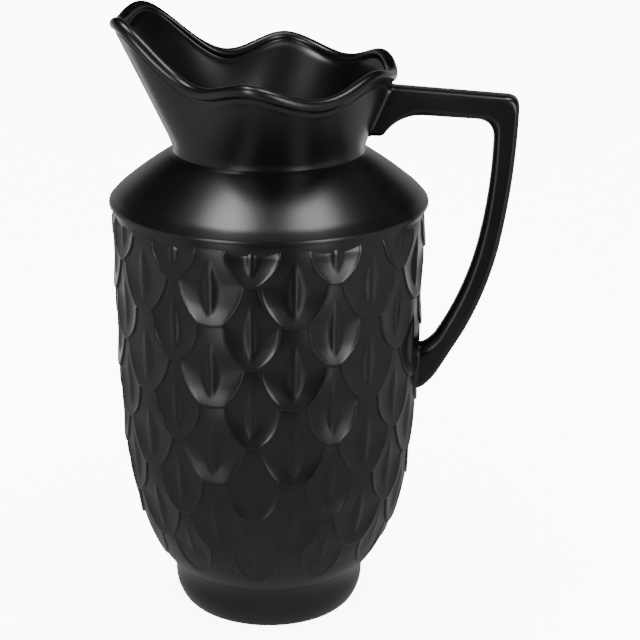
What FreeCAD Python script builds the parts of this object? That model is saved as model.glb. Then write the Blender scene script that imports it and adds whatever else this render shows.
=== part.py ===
"""Scale-relief oinochoe jug: a footed stoneware pitcher with a ruffled, spouted mouth and an angular handle.

The jug stands on the plane Z = 0 with its axis on Z. The handle points along +X and the spout along -X.
All lengths are in millimetres.
"""
import math
import os

import FreeCAD, Part
import Sketcher
from FreeCAD import Vector

# The driving dimensions: name in the sheet, value, and what it measures
SIZES = [
    ("wall", 5.0, "wall of the body and the neck"),
    ("foot_height", 18.0, "seam between the foot and the body"),
    ("foot_wall", 9.6, "foot, at its seam"),
    ("foot_tuck", 1.1, "standing edge of the foot, inside the seam"),
    ("foot_edge", 1.2, "rounding of that edge"),
    ("foot_bulge", 2.4, "fullest point of the foot, outside the seam"),
    ("foot_bulge_round", 15.0, "roundness of the foot under that point"),
    ("foot_bulge_share", 0.47, "height of that point as a share of the foot's"),
    ("floor_thickness", 6.5, "floor disc"),
    ("body_radius", 75.2, "body under the shoulder"),
    ("body_height", 209.9, "seam between the body and the shoulder"),
    ("mid_radius_share", 0.983, "middle of the body, as a share of its radius"),
    ("mid_height_share", 0.667, "the same point, as a share of the body's height"),
    ("low_radius_share", 0.939, "body above its lower curve"),
    ("low_height_share", 0.391, "height of that point"),
    ("turn_radius_share", 0.814, "body where its lower curve turns upward"),
    ("turn_height_share", 0.2, "height of that turn"),
    ("turn_wall_share", 1.15, "wall measured level at that turn, as a share of the wall"),
    ("waist_share", 0.606, "body where it meets the foot"),
    ("scales_around", 12, "scales in each row, a count"),
    ("scale_pitch", 20.0, "from one row to the next, down the wall"),
    ("scale_first", 21.4, "from the top of the body to the tips of the first row"),
    ("scale_band", 4.0, "plain band above the first row"),
    ("scale_lip", 1.7, "height of a scale at its tip"),
    ("scale_seat", 0.5, "height of a scale where the rows above it cover it"),
    ("scale_embed", 1.5, "depth of a scale's back inside the wall"),
    ("scale_dish", 1.3, "depth of the two dishes beside a scale's keel"),
    ("narrow_scale_share", 0.69, "scale of the odd rows, as a share of the room round the body"),
    ("narrow_tip_share", 0.14, "flat tip of that scale"),
    ("wide_scale_share", 0.86, "scale of the even rows"),
    ("wide_tip_share", 0.31, "flat tip of that scale"),
    ("shoulder_overhang", 2.1, "edge of the shoulder, outside the body"),
    ("shoulder_band", 1.1, "upright band of that edge"),
    ("shoulder_round", 3.65, "how far the rounding above that band comes in"),
    ("shoulder_round_rise", 4.1, "how far that rounding rises"),
    ("shoulder_edge_round", 13.6, "radius of that rounding"),
    ("shoulder_rise", 25.3, "from the body up to the seam of the neck"),
    ("collar", 1.2, "rounded rise from the shoulder into the neck"),
    ("neck_radius", 46.4, "neck at its base"),
    ("neck_rise", 4.0, "upright part of the neck above its seam"),
    ("mouth_wall", 4.2, "wall of the mouth under its rolled rim"),
    ("roll_radius", 2.9, "rolled rim"),
    ("back_rim_radius", 58.0, "middle of the rim over the handle"),
    ("back_rim_rise", 36.8, "rise of that point above the neck's seam"),
    ("corner_rim_radius", 58.5, "lobe of the rim beside the handle"),
    ("corner_rim_rise", 40.8, "rise of that point"),
    ("flank_rim_radius", 62.0, "dip between that lobe and the side lobe"),
    ("flank_rim_rise", 33.3, "rise of that point"),
    ("side_rim_radius", 66.0, "side lobe of the rim"),
    ("side_rim_rise", 41.3, "rise of that point"),
    ("pinch_rim_radius", 52.8, "pinched dip before the spout"),
    ("pinch_rim_rise", 35.8, "rise of that point"),
    ("lip_rim_radius", 70.5, "raised lobe of the spout"),
    ("lip_rim_rise", 61.8, "rise of that point"),
    ("spout_rim_radius", 71.5, "notch at the point of the spout"),
    ("spout_rim_rise", 58.3, "rise of that point"),
    ("handle_width", 13.0, "across the handle"),
    ("handle_round", 3.2, "rounding of the handle's long edges"),
    ("handle_reach", 43.0, "outside of the leg's top, out from the body"),
    ("arm_rise", 31.4, "top of the arm, above the neck's seam"),
    ("arm_depth", 13.0, "arm, from top to underside"),
    ("arm_seam", 10.0, "seam between the upper root and the arm, out from the rim"),
    ("arm_fall", 2.5, "fall of the arm's top on its way to the bend"),
    ("bend_reach", 6.2, "outer round of the bend, outward"),
    ("bend_drop", 6.3, "outer round of the bend, downward"),
    ("inner_bend", 6.0, "inner round of the bend"),
    ("leg_depth", 11.2, "leg at its top"),
    ("leg_low_reach_share", 0.628, "outside of the leg where it starts to turn in, as a share of the reach"),
    ("leg_low_share", 0.781, "height of that point as a share of the body's"),
    ("leg_low_depth", 10.6, "leg at that point"),
    ("leg_end_reach_share", 0.437, "outside of the leg at the lower root's seam, as a share of the reach"),
    ("leg_end_share", 0.693, "height of that point as a share of the body's"),
    ("leg_end_depth", 8.8, "leg at that seam"),
    ("leg_end_slant", 4.0, "rise of that seam towards the body"),
    ("heel_drop", 34.0, "lowest corner of the lower root inside the wall, under the seam"),
    ("crotch_drop", 13.7, "upper edge of the lower root inside the wall, under the seam"),
    ("root_round", 150.0, "hollow of the lower root's outside"),
    ("toe_rise", 8.6, "lowest point of the upper root, above the neck's seam"),
    ("toe_depth", 7.0, "that toe, out from the neck"),
    ("toe_round", 3.6, "rounding of the toe's outer corner"),
    ("gusset_round", 15.7, "hollow of the upper root's underside"),
]

# Where the rim's lobes and dips stand, in degrees round from the handle to the spout
RIM_AZIMUTHS = {"back": 0, "corner": 28, "flank": 61, "side": 91, "pinch": 121.5, "lip": 158.5, "spout": 180}
MOUTH_SECTIONS = 36

# A scale's outline and its two dishes, as shares of one pitch up from the tip and of half its width across
SWELL_SHARES = (0.36, 0.66)
KEEL_SHARES = (0.3, 1.55)
DISH_LOW_SHARES = (0.27, 0.5)
DISH_SIDE_SHARES = (0.85, 0.86)
DISH_BOTTOM_SHARES = (0.82, 0.4)
SHINGLE_SHARES = (0, 1 / 3, 2 / 3, 1)

# Smaller than any real distance on the jug, and larger than a rounding error
TOUCH = 1e-3

# First guesses, in degrees, for how far an arc turns before its ends settle it
EDGE_TURN = 50
WALL_TURN = 15
LEG_TURN = 20
BEND_TURN = 88

AXIS = Vector(0, 0, 1)
CENTRE = Vector(0, 0, 0)

doc = FreeCAD.newDocument("Jug")
sheet = doc.addObject("Spreadsheet::Sheet", "Sizes")
for row, (alias, value, note) in enumerate(SIZES, start=1):
    sheet.set(f"A{row}", alias)
    sheet.set(f"B{row}", str(value))
    sheet.set(f"C{row}", note)
    sheet.setAlias(f"B{row}", alias)
doc.recompute()


class Size:
    """A length with its value in millimetres and the sheet expression that it comes from."""

    def __init__(self, value, text):
        self.value = value
        self.text = text

    def __add__(self, other):
        return Size(self.value + other.value, f"({self.text} + {other.text})")

    def __sub__(self, other):
        return Size(self.value - other.value, f"({self.text} - {other.text})")

    def __mul__(self, other):
        if isinstance(other, Size):
            return Size(self.value * other.value, f"({self.text} * {other.text})")
        return Size(self.value * other, f"({self.text} * {other})")

    def __truediv__(self, other):
        if isinstance(other, Size):
            return Size(self.value / other.value, f"({self.text} / {other.text})")
        return Size(self.value / other, f"({self.text} / {other})")


class Sheet:
    """The driving dimensions, each by its name."""

    def __getattr__(self, alias):
        return Size(float(getattr(sheet, alias)), f"Sizes.{alias}")


S = Sheet()
ZERO = Size(0.0, "0")

# Radii and heights that several pieces share
WAIST = S.body_radius * S.waist_share
FLOOR_RADIUS = WAIST - S.wall
FLOOR_TOP = S.foot_height + S.floor_thickness
MID = (S.body_radius * S.mid_radius_share, S.body_height * S.mid_height_share)
LOW = (S.body_radius * S.low_radius_share, S.body_height * S.low_height_share)
TURN = (S.body_radius * S.turn_radius_share, S.body_height * S.turn_height_share)
SHOULDER_RADIUS = S.body_radius + S.shoulder_overhang
NECK_HEIGHT = S.body_height + S.shoulder_rise
ARM_TOP = NECK_HEIGHT + S.arm_rise
ARM_BOTTOM = ARM_TOP - S.arm_depth


class Outline:
    """A closed outline in a sketch, with every corner dimensioned from the two axes."""

    def __init__(self, sketch, across, up):
        self.sketch = sketch
        self.first = (across, up)
        self.at = (across, up)
        self.ends = []

    def line(self, across, up, smooth=False):
        start, end = flat(self.at), flat((across, up))
        edge = self.sketch.addGeometry(Part.LineSegment(start, end))
        self.join(edge, (1, 2), (across, up), smooth)

    def arc(self, across, up, turn, smooth=True, radius=None):
        """An arc that turns left by about this many degrees, or right where turn is negative."""
        start, end = flat(self.at), flat((across, up))
        chord = end - start
        half = math.radians(turn) / 2
        if radius is not None:
            half = math.copysign(math.asin(chord.Length / 2 / radius.value), turn)
        left = Vector(-chord.y, chord.x) / chord.Length
        centre = (start + end) / 2 + left * (chord.Length / 2 / math.tan(half))
        circle = Part.Circle(centre, AXIS, chord.Length / 2 / abs(math.sin(half)))
        angles = [math.atan2(point.y - centre.y, point.x - centre.x) for point in (start, end)]
        vertices = (1, 2)
        if half < 0:
            angles.reverse()
            vertices = (2, 1)
        edge = self.sketch.addGeometry(Part.ArcOfCircle(circle, *angles))
        self.join(edge, vertices, (across, up), smooth)
        if radius is not None:
            self.bind(radius, "Radius", edge)

    def close(self, smooth=False):
        """A straight edge back to the first corner, in line with the last edge if smooth is set."""
        edge = self.sketch.addGeometry(Part.LineSegment(flat(self.at), flat(self.first)))
        self.join(edge, (1, 2), None, smooth)
        first, first_vertex = self.ends[0]
        self.sketch.addConstraint(Sketcher.Constraint("Coincident", edge, 2, first, first_vertex))

    def join(self, edge, vertices, corner, smooth):
        if self.ends:
            last, last_vertex = self.last
            kind = "Tangent" if smooth else "Coincident"
            self.sketch.addConstraint(Sketcher.Constraint(kind, last, last_vertex, edge, vertices[0]))
        else:
            self.place(edge, vertices[0], self.first)
        self.ends.append((edge, vertices[0]))
        self.last = (edge, vertices[1])
        if corner:
            self.place(edge, vertices[1], corner)
            self.at = corner

    def place(self, edge, vertex, corner):
        for size, kind, axis in zip(corner, ("DistanceX", "DistanceY"), (-2, -1)):
            if size is ZERO:
                self.sketch.addConstraint(Sketcher.Constraint("PointOnObject", edge, vertex, axis))
            else:
                self.bind(size, kind, -1, 1, edge, vertex)

    def bind(self, size, kind, *places):
        index = self.sketch.addConstraint(Sketcher.Constraint(kind, *places, size.value))
        self.sketch.setExpression(f"Constraints[{index}]", size.text)


def flat(corner):
    return Vector(corner[0].value, corner[1].value)


def new_body(name):
    body = doc.addObject("PartDesign::Body", name)
    body.Label = name
    return body


def new_sketch(body, name):
    """A sketch in the upright plane of the handle, with the distance from the axis across and the height up."""
    plane = next(part for part in body.Origin.OriginFeatures if part.Role == "XZ_Plane")
    sketch = body.newObject("Sketcher::SketchObject", name)
    sketch.AttachmentSupport = [(plane, "")]
    sketch.MapMode = "FlatFace"
    return sketch


def turned(name):
    """A body turned on the axis from the outline that the caller draws."""
    body = new_body(name)
    sketch = new_sketch(body, f"{name}_outline")

    def finish():
        turning = body.newObject("PartDesign::Revolution", f"{name}_turning")
        turning.Profile = sketch
        turning.ReferenceAxis = (sketch, ["V_Axis"])
        turning.Angle = 360
        return sketch

    return sketch, finish


def foot_ring():
    sketch, finish = turned("foot_ring")
    outline = Outline(sketch, WAIST - S.foot_wall, ZERO)
    outline.line(WAIST - S.foot_tuck - S.foot_edge, ZERO)
    outline.arc(WAIST - S.foot_tuck, S.foot_edge, EDGE_TURN)
    bulge = (WAIST + S.foot_bulge, S.foot_height * S.foot_bulge_share)
    outline.arc(*bulge, EDGE_TURN, smooth=False, radius=S.foot_bulge_round)
    outline.arc(WAIST, S.foot_height, EDGE_TURN)
    outline.line(WAIST - S.foot_wall, S.foot_height)
    outline.close()
    finish()


def base_floor():
    sketch, finish = turned("base_floor")
    outline = Outline(sketch, ZERO, S.foot_height)
    outline.line(FLOOR_RADIUS, S.foot_height)
    outline.line(FLOOR_RADIUS, FLOOR_TOP)
    outline.line(ZERO, FLOOR_TOP)
    outline.close()
    finish()


def plain_wall():
    """The body's wall without its scales, which is the blank that the scales stand on."""
    sketch, finish = turned("plain_wall")
    outline = Outline(sketch, S.body_radius, S.body_height)
    outline.line(*MID)
    outline.arc(*LOW, -WALL_TURN)
    outline.arc(*TURN, -WALL_TURN)
    outline.arc(WAIST, S.foot_height, -WALL_TURN)
    outline.line(FLOOR_RADIUS, S.foot_height)
    outline.line(FLOOR_RADIUS, FLOOR_TOP)
    outline.arc(TURN[0] - S.wall * S.turn_wall_share, TURN[1], WALL_TURN, smooth=False)
    outline.arc(LOW[0] - S.wall, LOW[1], WALL_TURN)
    outline.arc(MID[0] - S.wall, MID[1], WALL_TURN)
    outline.line(S.body_radius - S.wall, S.body_height, smooth=True)
    outline.close()
    return finish()


def shoulder():
    sketch, finish = turned("shoulder")
    band_top = S.body_height + S.shoulder_band
    outline = Outline(sketch, S.body_radius - S.wall, S.body_height)
    outline.line(SHOULDER_RADIUS, S.body_height)
    outline.line(SHOULDER_RADIUS, band_top)
    rounded = (SHOULDER_RADIUS - S.shoulder_round, band_top + S.shoulder_round_rise)
    outline.arc(*rounded, EDGE_TURN, smooth=False, radius=S.shoulder_edge_round)
    outline.line(S.neck_radius + S.collar, NECK_HEIGHT - S.collar)
    outline.arc(S.neck_radius, NECK_HEIGHT, -EDGE_TURN, smooth=False, radius=S.collar * 2)
    outline.line(S.neck_radius - S.wall, NECK_HEIGHT)
    outline.line(S.body_radius - S.wall - S.shoulder_round, band_top)
    outline.close()
    finish()


def radial(azimuth, radius, height):
    """The point at this azimuth in degrees, distance from the jug's axis and height."""
    angle = math.radians(azimuth)
    return Vector(radius * math.cos(angle), radius * math.sin(angle), height)


class Wall:
    """The outside of the plain wall, by the distance down it from the shoulder."""

    def __init__(self, outline):
        wire = Part.Wire(Part.__sortEdges__(outline.Shape.Edges[:4]))
        self.step = S.scale_embed.value / 6
        self.length = wire.Length
        self.points = wire.discretize(Distance=self.step)
        if self.points[0].z < self.points[-1].z:
            self.points.reverse()

    def at(self, distance, rise=0.0):
        """Radius and height at this distance, lifted off the wall by rise."""
        place = min(max(distance / self.step, 0.0), len(self.points) - 1.001)
        index = int(place)
        start, end = self.points[index], self.points[index + 1]
        along = (end - start).normalize()
        point = start + (end - start) * (place - index)
        return point.x - along.z * rise, point.z + along.x * rise


class Scale:
    """One scale, centred on the azimuth of the handle, with its tip at a distance down the wall."""

    def __init__(self, wall, tip, width_share, tip_share):
        self.wall, self.tip = wall, min(tip, wall.length)
        self.pitch = S.scale_pitch.value
        self.top = max(tip - 2 * self.pitch, S.scale_band.value)
        radius = wall.at(tip - self.pitch)[0]
        room = math.pi / S.scales_around.value
        self.half = radius * math.sin(room * width_share.value)
        self.half_tip = radius * math.sin(room * tip_share.value)

    def rise(self, distance):
        """Height of the scale's face off the wall, which falls from the lip at the tip towards the seat."""
        lip, seat = S.scale_lip.value, S.scale_seat.value
        return lip + (seat - lip) * (self.tip - distance) / (2 * self.pitch)

    def shingle(self, angle):
        """A sector of the sloping ring that the scale is cut from."""
        stops = [self.tip + (self.top - self.tip) * share for share in SHINGLE_SHARES]
        corners = [self.wall.at(stop, self.rise(stop)) for stop in stops]
        corners += [self.wall.at(stop, -S.scale_embed.value) for stop in (self.top, self.tip)]
        ring = [Vector(radius, 0, height) for radius, height in corners]
        section = Part.Face(Part.makePolygon(ring + ring[:1]))
        section.rotate(CENTRE, AXIS, -angle / 2)
        return section.revolve(CENTRE, AXIS, angle)

    def shield(self):
        """The scale's outline pushed out from the axis: a flat tip, round sides and upright shoulders."""
        wide = self.wall.at(self.tip - self.pitch)[1]
        low = self.wall.at(self.tip, self.rise(self.tip))[1]
        high = self.wall.at(self.top)[1] + S.scale_lip.value
        up, across = SWELL_SHARES
        swell = Vector(0, self.half_tip + (self.half - self.half_tip) * across, low + (wide - low) * up)
        toe = Vector(0, self.half_tip, low)
        corner = Vector(0, self.half, wide)
        top = Vector(0, self.half, high)
        edges = [
            Part.LineSegment(mirrored(toe), toe),
            Part.Arc(toe, swell, corner),
            Part.LineSegment(corner, top),
            Part.LineSegment(top, mirrored(top)),
            Part.LineSegment(mirrored(top), mirrored(corner)),
            Part.Arc(mirrored(corner), mirrored(swell), mirrored(toe)),
        ]
        face = Part.Face(Part.Wire([edge.toShape() for edge in edges]))
        return face.extrude(Vector(2 * S.body_radius.value, 0, 0))

    def spot(self, up, across, sunk=0.0):
        """A point of the scale's face, up from the tip in pitches and across in half widths."""
        distance = self.tip - up * self.pitch
        radius, height = self.wall.at(distance, self.rise(distance) - sunk)
        return radial(math.degrees(math.asin(across * self.half / radius)), radius, height)

    def dish(self):
        """The four-sided hollow on one side of the keel, as a pyramid that opens outward from its deepest point."""
        keel_low, keel_high = KEEL_SHARES
        room = (self.tip - self.top) / self.pitch
        keel_high = min(keel_high, room * 0.9)
        bottom = self.spot(*DISH_BOTTOM_SHARES, S.scale_dish.value)
        rim = [self.spot(keel_high, 0), self.spot(keel_low, 0), self.spot(*DISH_LOW_SHARES)]
        rim.append(self.spot(DISH_SIDE_SHARES[0], DISH_SIDE_SHARES[1]))
        spread = [bottom + (point - bottom) * 3 for point in rim]
        triangles = [[bottom, a, b] for a, b in zip(spread, spread[1:] + spread[:1])]
        triangles += [[spread[0], spread[1], spread[2]], [spread[0], spread[2], spread[3]]]
        solid = Part.Solid(Part.Shell([Part.Face(Part.makePolygon(t + t[:1])) for t in triangles]))
        if solid.Volume < 0:
            solid.reverse()
        return solid

    def solid(self, angle):
        blank = self.shingle(angle).common(self.shield())
        dish = self.dish()
        return blank.cut([dish, dish.mirror(CENTRE, Vector(0, 1, 0))])


def mirrored(point):
    return Vector(point.x, -point.y, point.z)


def scaled_wall(outline):
    """The body's wall with its rows of scales: one upright slice of it, repeated round the axis."""
    wall = Wall(outline)
    around = int(S.scales_around.value)
    angle = 360 / around
    profile = Part.Face(Part.Wire(Part.__sortEdges__(outline.Shape.Edges)))
    profile.rotate(CENTRE, AXIS, -angle / 2)
    slab = profile.revolve(CENTRE, AXIS, angle)
    wedge = Part.makeCylinder(2 * S.body_radius.value, 2 * S.body_height.value, CENTRE, AXIS, angle)
    wedge.rotate(CENTRE, AXIS, -angle / 2)

    scales = []
    rows = round((wall.length - S.scale_first.value) / S.scale_pitch.value) + 1
    for row in range(rows):
        tip = S.scale_first.value + row * S.scale_pitch.value
        if row % 2 == 0:
            scales.append(Scale(wall, tip, S.narrow_scale_share, S.narrow_tip_share).solid(2 * angle))
            continue
        between = Scale(wall, tip, S.wide_scale_share, S.wide_tip_share).solid(2 * angle)
        between.rotate(CENTRE, AXIS, angle / 2)
        half = between.common(wedge)
        scales += [half, half.mirror(CENTRE, Vector(0, 1, 0))]
    piece = slab.multiFuse(scales)

    skin = [face for face in piece.Faces if not on_slice_plane(face, angle / 2)]
    skins = []
    for count in range(around):
        for face in skin:
            copy = face.copy()
            copy.rotate(CENTRE, AXIS, count * angle)
            skins.append(copy)
    whole = Part.makeCompound(skins)
    whole.sewShape()
    solid = Part.Solid(max(whole.Shells, key=lambda shell: shell.Area))
    if solid.Volume < 0:
        solid.reverse()
    return solid


def on_slice_plane(face, azimuth):
    """True for a face that lies in one of the two upright planes at this azimuth."""
    middle = face.CenterOfMass
    return abs(abs(math.degrees(math.atan2(middle.y, middle.x))) - azimuth) < 1e-4


def mouth_curve():
    """The middle of the rolled rim: a closed curve through its lobes and dips, the same on both sides."""
    half = []
    for name, azimuth in RIM_AZIMUTHS.items():
        radius = getattr(S, f"{name}_rim_radius")
        height = NECK_HEIGHT + getattr(S, f"{name}_rim_rise")
        half.append((azimuth, radius.value, height.value))
    other = [(360 - azimuth, radius, height) for azimuth, radius, height in reversed(half[1:-1])]
    curve = Part.BSplineCurve()
    curve.interpolate(Points=[radial(*place) for place in half + other], PeriodicFlag=True)
    return curve


class MouthSection:
    """The neck's wall and its rolled rim in one upright plane."""

    def __init__(self, rim_point):
        self.azimuth = math.degrees(math.atan2(rim_point.y, rim_point.x))
        self.rim = (math.hypot(rim_point.x, rim_point.y), rim_point.z)
        self.base = ((S.neck_radius - S.wall / 2).value, (NECK_HEIGHT + S.neck_rise).value)
        across, up = self.rim[0] - self.base[0], self.rim[1] - self.base[1]
        length = math.hypot(across, up)
        self.along = (across / length, up / length)
        self.seam_angle = math.acos(S.mouth_wall.value / 2 / S.roll_radius.value)

    def spot(self, start, along, out):
        """A point moved along the wall and outward from a start in the section's plane."""
        radius = start[0] + along * self.along[0] + out * self.along[1]
        height = start[1] + along * self.along[1] - out * self.along[0]
        return radial(self.azimuth, radius, height)

    def on_roll(self, angle):
        """The point of the rolled rim at this angle up from the outward side."""
        roll = S.roll_radius.value
        return self.spot(self.rim, roll * math.sin(angle), roll * math.cos(angle))

    def neck_wire(self):
        neck, wall, height = S.neck_radius.value, S.wall.value, NECK_HEIGHT.value
        corners = [
            radial(self.azimuth, neck - wall, height),
            radial(self.azimuth, neck, height),
            self.spot(self.base, 0, wall / 2),
            self.on_roll(-self.seam_angle),
            self.on_roll(math.pi + self.seam_angle),
            self.spot(self.base, 0, -wall / 2),
        ]
        return Part.makePolygon(corners + corners[:1])

    def roll_wire(self):
        stops = [-self.seam_angle, 0, math.pi / 2, math.pi, math.pi + self.seam_angle]
        edges = [Part.LineSegment(self.on_roll(stops[-1]), self.on_roll(stops[0]))]
        for start, end in zip(stops, stops[1:]):
            edges.append(Part.Arc(self.on_roll(start), self.on_roll((start + end) / 2), self.on_roll(end)))
        return Part.Wire([edge.toShape() for edge in edges])


def mouth():
    """The neck with its ruffled mouth, and the roll of clay that finishes its edge."""
    curve = mouth_curve()
    step = (curve.LastParameter - curve.FirstParameter) / MOUTH_SECTIONS
    sections = [MouthSection(curve.value(curve.FirstParameter + step * n)) for n in range(MOUTH_SECTIONS)]
    solid, ruled, closed = True, False, True
    neck = Part.makeLoft([section.neck_wire() for section in sections], solid, ruled, closed)
    roll = Part.makeLoft([section.roll_wire() for section in sections], solid, ruled, closed)
    return neck, roll


def add_shape(name, shape):
    thing = doc.addObject("Part::Feature", name)
    thing.Label = name
    thing.Shape = shape
    thing.Placement = FreeCAD.Placement()
    return thing


def strap(body, sketch, width, ends):
    """The sketch padded to both sides by half the width, its long edges rounded but for these two ends."""
    middles = [(upright(*first) + upright(*second)) / 2 for first, second in ends]
    pad = body.newObject("PartDesign::Pad", f"{body.Name}_pad")
    pad.Profile = sketch
    pad.SideType = "Symmetric"
    pad.setExpression("Length", width.text)
    doc.recompute()
    long_edges = []
    for number, edge in enumerate(pad.Shape.Edges, start=1):
        middle = edge.valueAt((edge.FirstParameter + edge.LastParameter) / 2)
        on_side = abs(abs(middle.y) - width.value / 2) < TOUCH
        spot = Vector(middle.x, 0, middle.z)
        near_end = any(spot.distanceToPoint(end) < TOUCH for end in middles)
        if on_side and not near_end:
            long_edges.append(f"Edge{number}")
    fillet = body.newObject("PartDesign::Fillet", f"{body.Name}_rounding")
    fillet.Base = (pad, long_edges)
    fillet.setExpression("Radius", S.handle_round.text)


def upright(*corner):
    return Vector(corner[0].value, 0, corner[1].value)


ARM_START = S.back_rim_radius + S.arm_seam
ARM_SEAM = ((ARM_START, ARM_TOP), (ARM_START, ARM_BOTTOM))
LEG_END = (S.body_radius + S.handle_reach * S.leg_end_reach_share, S.body_height * S.leg_end_share)
LEG_SEAM = (LEG_END, (LEG_END[0] - S.leg_end_depth, LEG_END[1] + S.leg_end_slant))


def handle():
    """The flat arm and the bent leg, between the seams of the two roots."""
    body = new_body("handle")
    sketch = new_sketch(body, "handle_outline")
    reach = S.body_radius + S.handle_reach
    bend = ARM_TOP - S.arm_fall
    low = (S.body_radius + S.handle_reach * S.leg_low_reach_share, S.body_height * S.leg_low_share)
    outline = Outline(sketch, *ARM_SEAM[0])
    outline.line(*ARM_SEAM[1])
    outline.line(reach - S.leg_depth - S.inner_bend, ARM_BOTTOM)
    outline.arc(reach - S.leg_depth, ARM_BOTTOM - S.inner_bend, -BEND_TURN)
    outline.arc(low[0] - S.leg_low_depth, low[1], -LEG_TURN)
    outline.arc(*LEG_SEAM[1], -LEG_TURN)
    outline.line(*LEG_SEAM[0])
    outline.arc(*low, LEG_TURN, smooth=False)
    outline.arc(reach, bend - S.bend_drop, LEG_TURN)
    outline.arc(reach - S.bend_reach, bend, BEND_TURN)
    outline.close(smooth=True)
    strap(body, sketch, S.handle_width, [ARM_SEAM, LEG_SEAM])


def inside_neck(height):
    """The middle of the neck's wall under the handle, at this height."""
    foot, foot_height = S.neck_radius - S.wall / 2, NECK_HEIGHT + S.neck_rise
    slope = (S.back_rim_radius - foot) / (S.back_rim_rise - S.neck_rise)
    return foot + (height - foot_height) * slope


def upper_root():
    """The gusset that carries the arm on the neck, as a blank that still reaches into the neck's wall."""
    body = new_body("upper_root_blank")
    sketch = new_sketch(body, "upper_root_outline")
    toe_height = NECK_HEIGHT + S.toe_rise
    toe = inside_neck(toe_height) + S.wall / 2 + S.toe_depth
    inner = ((inside_neck(ARM_TOP), ARM_TOP), (inside_neck(toe_height), toe_height))
    outline = Outline(sketch, *ARM_SEAM[0])
    outline.line(*inner[0])
    outline.line(*inner[1])
    outline.line(toe - S.toe_round, toe_height)
    outline.arc(toe, toe_height + S.toe_round, BEND_TURN)
    outline.arc(*ARM_SEAM[1], -EDGE_TURN, smooth=False, radius=S.gusset_round)
    outline.close()
    strap(body, sketch, S.handle_width, [ARM_SEAM, inner])
    return body


def lower_root():
    """The heel that carries the leg on the belly, as a blank that still reaches into the belly's wall."""
    body = new_body("lower_root_blank")
    sketch = new_sketch(body, "lower_root_outline")
    inside = MID[0] - S.wall / 2
    inner = ((inside, LEG_END[1] - S.heel_drop), (inside, LEG_SEAM[1][1] - S.crotch_drop))
    outline = Outline(sketch, *LEG_SEAM[1])
    outline.line(*LEG_SEAM[0])
    outline.arc(*inner[0], -LEG_TURN, smooth=False, radius=S.root_round)
    outline.line(*inner[1])
    outline.close()
    strap(body, sketch, S.handle_width, [LEG_SEAM, inner])
    return body


def seated(name, blank, carriers):
    """The blank cut back to the surfaces that carry it."""
    for number, carrier in enumerate(carriers, start=1):
        cut = doc.addObject("Part::Cut", name if number == len(carriers) else f"{name}_{number}")
        cut.Base = blank
        cut.Tool = carrier
        blank = cut
    blank.Label = name
    return blank


foot_ring()
base_floor()
wall_outline = plain_wall()
shoulder()
doc.recompute()
belly = add_shape("belly_wall", scaled_wall(wall_outline))
neck_shape, roll_shape = mouth()
neck = add_shape("neck_and_mouth", neck_shape)
roll = add_shape("rim_roll", roll_shape)
handle()
seated("upper_root", upper_root(), [neck, roll])
seated("lower_root", lower_root(), [belly])
doc.recompute()

NODES = [
    "foot_ring",
    "base_floor",
    "belly_wall",
    "shoulder",
    "neck_and_mouth",
    "rim_roll",
    "handle",
    "upper_root",
    "lower_root",
]

for thing in doc.Objects:
    if "Invalid" in thing.State or "Error" in thing.State:
        raise RuntimeError(f"{thing.Label} could not be built: {thing.State}")
for name in NODES:
    shape = doc.getObject(name).Shape
    if shape.isNull() or not shape.isValid() or len(shape.Solids) != 1:
        raise RuntimeError(f"{name} is not one sound solid: {len(shape.Solids)} solids")
    print(f"{name}: {shape.Volume:.0f} cubic mm, {len(shape.Faces)} faces")

os.makedirs("parts", exist_ok=True)
for name in NODES:
    doc.getObject(name).Shape.exportStep(f"parts/{name}.step")
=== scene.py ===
"""The look of the scale-relief jug: finer forms for the CAD pieces, black glaze and soft studio light."""

import math

import bpy
import numpy as np
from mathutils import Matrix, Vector


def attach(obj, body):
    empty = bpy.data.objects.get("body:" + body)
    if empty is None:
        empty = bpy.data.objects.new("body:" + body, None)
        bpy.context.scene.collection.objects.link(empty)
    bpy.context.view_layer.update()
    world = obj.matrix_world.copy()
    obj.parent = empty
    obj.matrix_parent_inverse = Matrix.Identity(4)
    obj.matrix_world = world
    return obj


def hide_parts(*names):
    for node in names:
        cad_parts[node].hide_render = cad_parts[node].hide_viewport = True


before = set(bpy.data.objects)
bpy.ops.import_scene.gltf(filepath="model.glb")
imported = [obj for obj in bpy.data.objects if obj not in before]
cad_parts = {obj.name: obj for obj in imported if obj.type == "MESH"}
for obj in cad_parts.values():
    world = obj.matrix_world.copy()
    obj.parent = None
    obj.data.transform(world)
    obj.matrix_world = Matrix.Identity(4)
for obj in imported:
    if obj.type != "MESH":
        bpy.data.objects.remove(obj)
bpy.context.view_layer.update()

MM = 0.001

# The camera of the photograph: its distance from the jug's axis and its height in metres, angles in degrees,
# the shift of its picture and the width of its sensor in millimetres
CAMERA_DISTANCE = 0.8353
CAMERA_HEIGHT = 0.4443
CAMERA_AZIMUTH = 7.5
CAMERA_DIP = 19.58
CAMERA_FOV = 20.32
CAMERA_SHIFT = 0.08
SENSOR_WIDTH = 36

# The body's wall without its scales: radius and height of its corners in millimetres, from the top down, its
# thickness, how much thicker it measures level at the slanting turn, and the height of the floor inside
WALL_TOP = (75.2, 209.9)
WALL_MIDDLE = (73.9, 140.0)
WALL_LOW = (70.6, 82.1)
WALL_TURN = (61.2, 42.0)
WALL_WAIST = (45.6, 18.0)
WALL_THICKNESS = 5.0
SLANT_SHARE = 1.15
FLOOR_TOP = 24.5

# The foot: standing edge, fullest point, blend into the wall and inside, in millimetres
FOOT_EDGE, FOOT_EDGE_ROUND = (43.3, 0.0), 1.2
FOOT_BULGE, FOOT_SIDE_ROUND = (48.0, 12.5), 20.8
FOOT_BLEND = [(48.0, 20.04), (51.77, 24.99)]
FOOT_SEAM = WALL_WAIST
FOOT_WALL, FOOT_INSIDE_ROUND = 9.6, 1.0

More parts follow.
